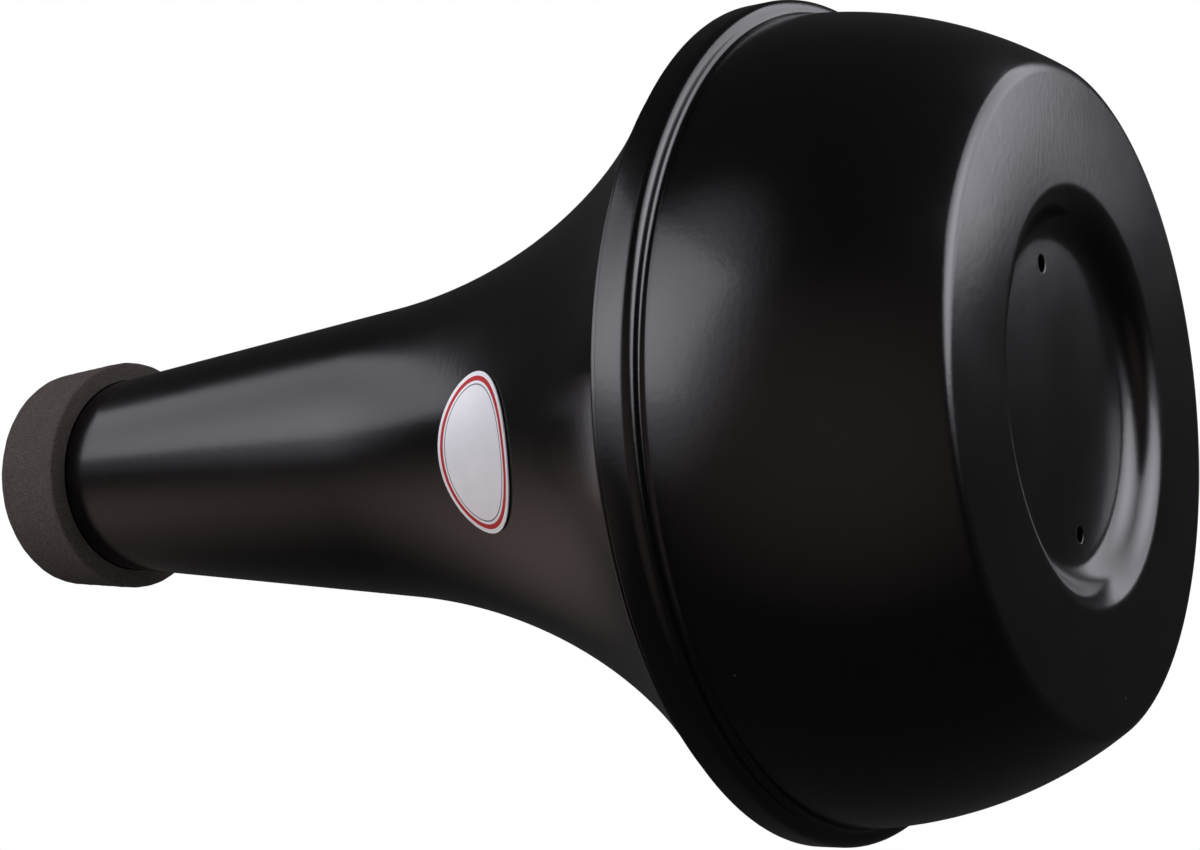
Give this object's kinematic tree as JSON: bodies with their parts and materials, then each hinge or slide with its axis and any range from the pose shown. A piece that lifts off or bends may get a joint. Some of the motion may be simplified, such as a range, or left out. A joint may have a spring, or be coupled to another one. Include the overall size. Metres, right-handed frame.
{
  "type": "euphonium mute",
  "caption": "Flared hollow euphonium practice mute with a tapered neck, foam collar, stepped rim and a rounded base with a vented recess.",
  "frame": {"origin": "centre of the flat foot ring on the base, which faces down", "axes": "+Z along the mute's axis, from the base to the open neck; -Y towards the label"},
  "size_m": [0.21, 0.21, 0.337],
  "materials": {
    "black_lacquer": "black satin lacquer on spun aluminium",
    "collar_foam": "matte closed-cell foam",
    "label_foil": "silver foil sticker with a red border"
  },
  "bodies": {
    "root": {"horn": "black_lacquer", "bowl": "black_lacquer", "foam_collar": "collar_foam", "label": "label_foil"}
  },
  "joints": []
}
